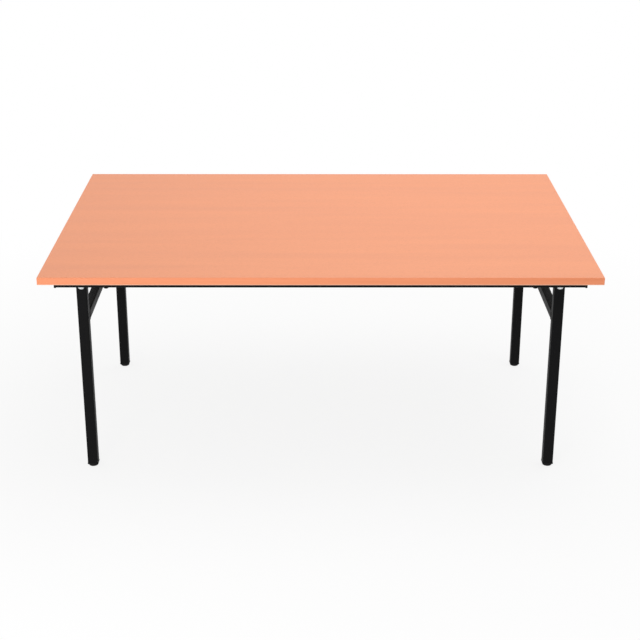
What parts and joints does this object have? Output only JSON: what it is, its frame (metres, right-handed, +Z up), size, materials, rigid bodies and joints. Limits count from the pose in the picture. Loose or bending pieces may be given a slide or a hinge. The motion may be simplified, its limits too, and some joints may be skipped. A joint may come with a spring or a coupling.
{
  "type": "folding training table",
  "caption": "Rectangular training table with a banded laminate top on a black tube under frame; square-tube leg frames fold in under the top and lock upright with sliding pins.",
  "frame": {"origin": "on the floor, under the middle of the table top", "axes": "+X along the table's length to the right of the front, +Y from front to rear, +Z up"},
  "size_m": [1.8, 1.2, 0.75],
  "materials": {
    "laminate": "matt beech laminate",
    "edge_plastic": "smooth edge band",
    "black_steel": "black powder coat",
    "black_plastic": "moulded, matt",
    "bright_steel": "zinc plated"
  },
  "bodies": {
    "table": {"table_top": "laminate", "edge_band_front": "edge_plastic", "edge_band_rear": "edge_plastic", "edge_band_left": "edge_plastic", "edge_band_right": "edge_plastic", "rail_front": "black_steel", "rail_rear": "black_steel", "cross_rail_left": "black_steel", "cross_rail_right": "black_steel", "rail_cap_front_left": "black_plastic", "rail_cap_front_right": "black_plastic", "rail_cap_rear_left": "black_plastic", "rail_cap_rear_right": "black_plastic", "rail_screw_front_left": "black_steel", "rail_screw_front_right": "black_steel", "rail_screw_rear_left": "black_steel", "rail_screw_rear_right": "black_steel", "hinge_bracket_front_left": "black_steel", "hinge_bracket_front_right": "black_steel", "hinge_bracket_rear_left": "black_steel", "hinge_bracket_rear_right": "black_steel", "pivot_bolt_front_left": "bright_steel", "pivot_bolt_front_right": "bright_steel", "pivot_bolt_rear_left": "bright_steel", "pivot_bolt_rear_right": "bright_steel", "pivot_washer_front_left": "bright_steel", "pivot_washer_front_right": "bright_steel", "pivot_washer_rear_left": "bright_steel", "pivot_washer_rear_right": "bright_steel", "pivot_sleeve_front_left": "bright_steel", "pivot_sleeve_front_right": "bright_steel", "pivot_sleeve_rear_left": "bright_steel", "pivot_sleeve_rear_right": "bright_steel", "pivot_nut_front_left": "bright_steel", "pivot_nut_front_right": "bright_steel", "pivot_nut_rear_left": "bright_steel", "pivot_nut_rear_right": "bright_steel", "lock_bush_front_left": "bright_steel", "lock_bush_front_right": "bright_steel", "lock_bush_rear_left": "bright_steel", "lock_bush_rear_right": "bright_steel"},
    "left_leg_frame": {"leg_front_left": "black_steel", "leg_rear_left": "black_steel", "crossbar_left": "black_steel", "foot_cap_front_left": "black_plastic", "foot_cap_rear_left": "black_plastic"},
    "right_leg_frame": {"leg_front_right": "black_steel", "leg_rear_right": "black_steel", "crossbar_right": "black_steel", "foot_cap_front_right": "black_plastic", "foot_cap_rear_right": "black_plastic"},
    "front_left_lock": {"lock_pin_front_left": "bright_steel", "lock_knob_front_left": "black_plastic"},
    "front_right_lock": {"lock_pin_front_right": "bright_steel", "lock_knob_front_right": "black_plastic"},
    "rear_left_lock": {"lock_pin_rear_left": "bright_steel", "lock_knob_rear_left": "black_plastic"},
    "rear_right_lock": {"lock_pin_rear_right": "bright_steel", "lock_knob_rear_right": "black_plastic"}
  },
  "joints": [
    {"name": "left_fold", "type": "hinge", "parent": "table", "child": "left_leg_frame", "pos_m": [-0.787, 0, 0.667], "axis": [0, -1, 0], "range_deg": [0, 90]},
    {"name": "right_fold", "type": "hinge", "parent": "table", "child": "right_leg_frame", "pos_m": [0.787, 0, 0.667], "axis": [0, 1, 0], "range_deg": [0, 90]},
    {"name": "front_left_lock_slide", "type": "slide", "parent": "table", "child": "front_left_lock", "axis": [0, -1, 0], "range_m": [0, 0.012]},
    {"name": "front_right_lock_slide", "type": "slide", "parent": "table", "child": "front_right_lock", "axis": [0, -1, 0], "range_m": [0, 0.012]},
    {"name": "rear_left_lock_slide", "type": "slide", "parent": "table", "child": "rear_left_lock", "axis": [0, 1, 0], "range_m": [0, 0.012]},
    {"name": "rear_right_lock_slide", "type": "slide", "parent": "table", "child": "rear_right_lock", "axis": [0, 1, 0], "range_m": [0, 0.012]}
  ]
}
